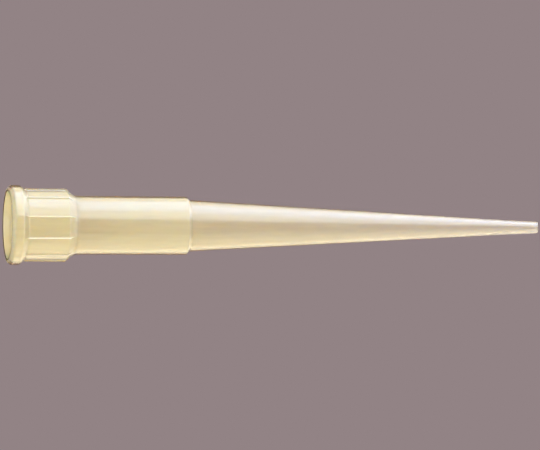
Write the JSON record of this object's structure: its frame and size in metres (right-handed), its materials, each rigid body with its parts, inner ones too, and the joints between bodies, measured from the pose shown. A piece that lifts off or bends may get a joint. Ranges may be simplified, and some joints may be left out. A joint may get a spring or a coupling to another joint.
{
  "type": "pipette tip",
  "caption": "Moulded laboratory pipette tip, hollow right through: beaded mouth, ribbed collar, barrel with a small step, and a long cone down to a fine orifice.",
  "frame": {"origin": "at the middle of the mouth, on the surface that the tip stands on", "axes": "+Z runs along the tip's own axis, from the mouth up to the orifice; the first of the ten ribs points along -X"},
  "size_m": [0.0074, 0.0074, 0.05],
  "materials": {
    "polypropylene": "natural see-through polypropylene tinted pale yellow, smooth from a polished mould"
  },
  "bodies": {
    "root": {"pipette_tip": "polypropylene"}
  },
  "joints": []
}
